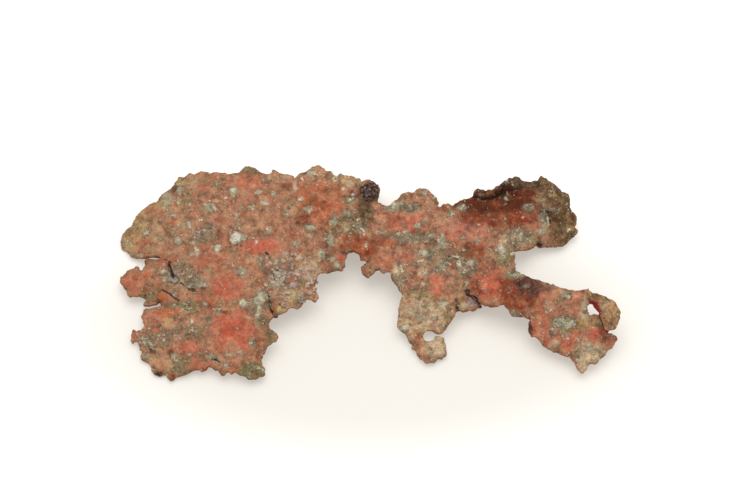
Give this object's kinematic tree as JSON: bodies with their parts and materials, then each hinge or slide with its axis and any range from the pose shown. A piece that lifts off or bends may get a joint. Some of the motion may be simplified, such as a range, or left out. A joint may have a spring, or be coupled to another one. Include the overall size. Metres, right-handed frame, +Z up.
{
  "type": "native copper nugget",
  "caption": "Thin torn sheet of native copper with ragged lobes and a weathered crust, lying on its lowest lobes.",
  "frame": {"origin": "on the ground under the middle of the nugget's box", "axes": "+X along the nugget's length towards the curled finger, +Z up, away from the ground"},
  "size_m": [0.1278, 0.066, 0.0106],
  "materials": {
    "crusted_copper": "weathered, dull, with a mineral crust"
  },
  "bodies": {
    "root": {"copper_sheet": "crusted_copper"}
  },
  "joints": []
}
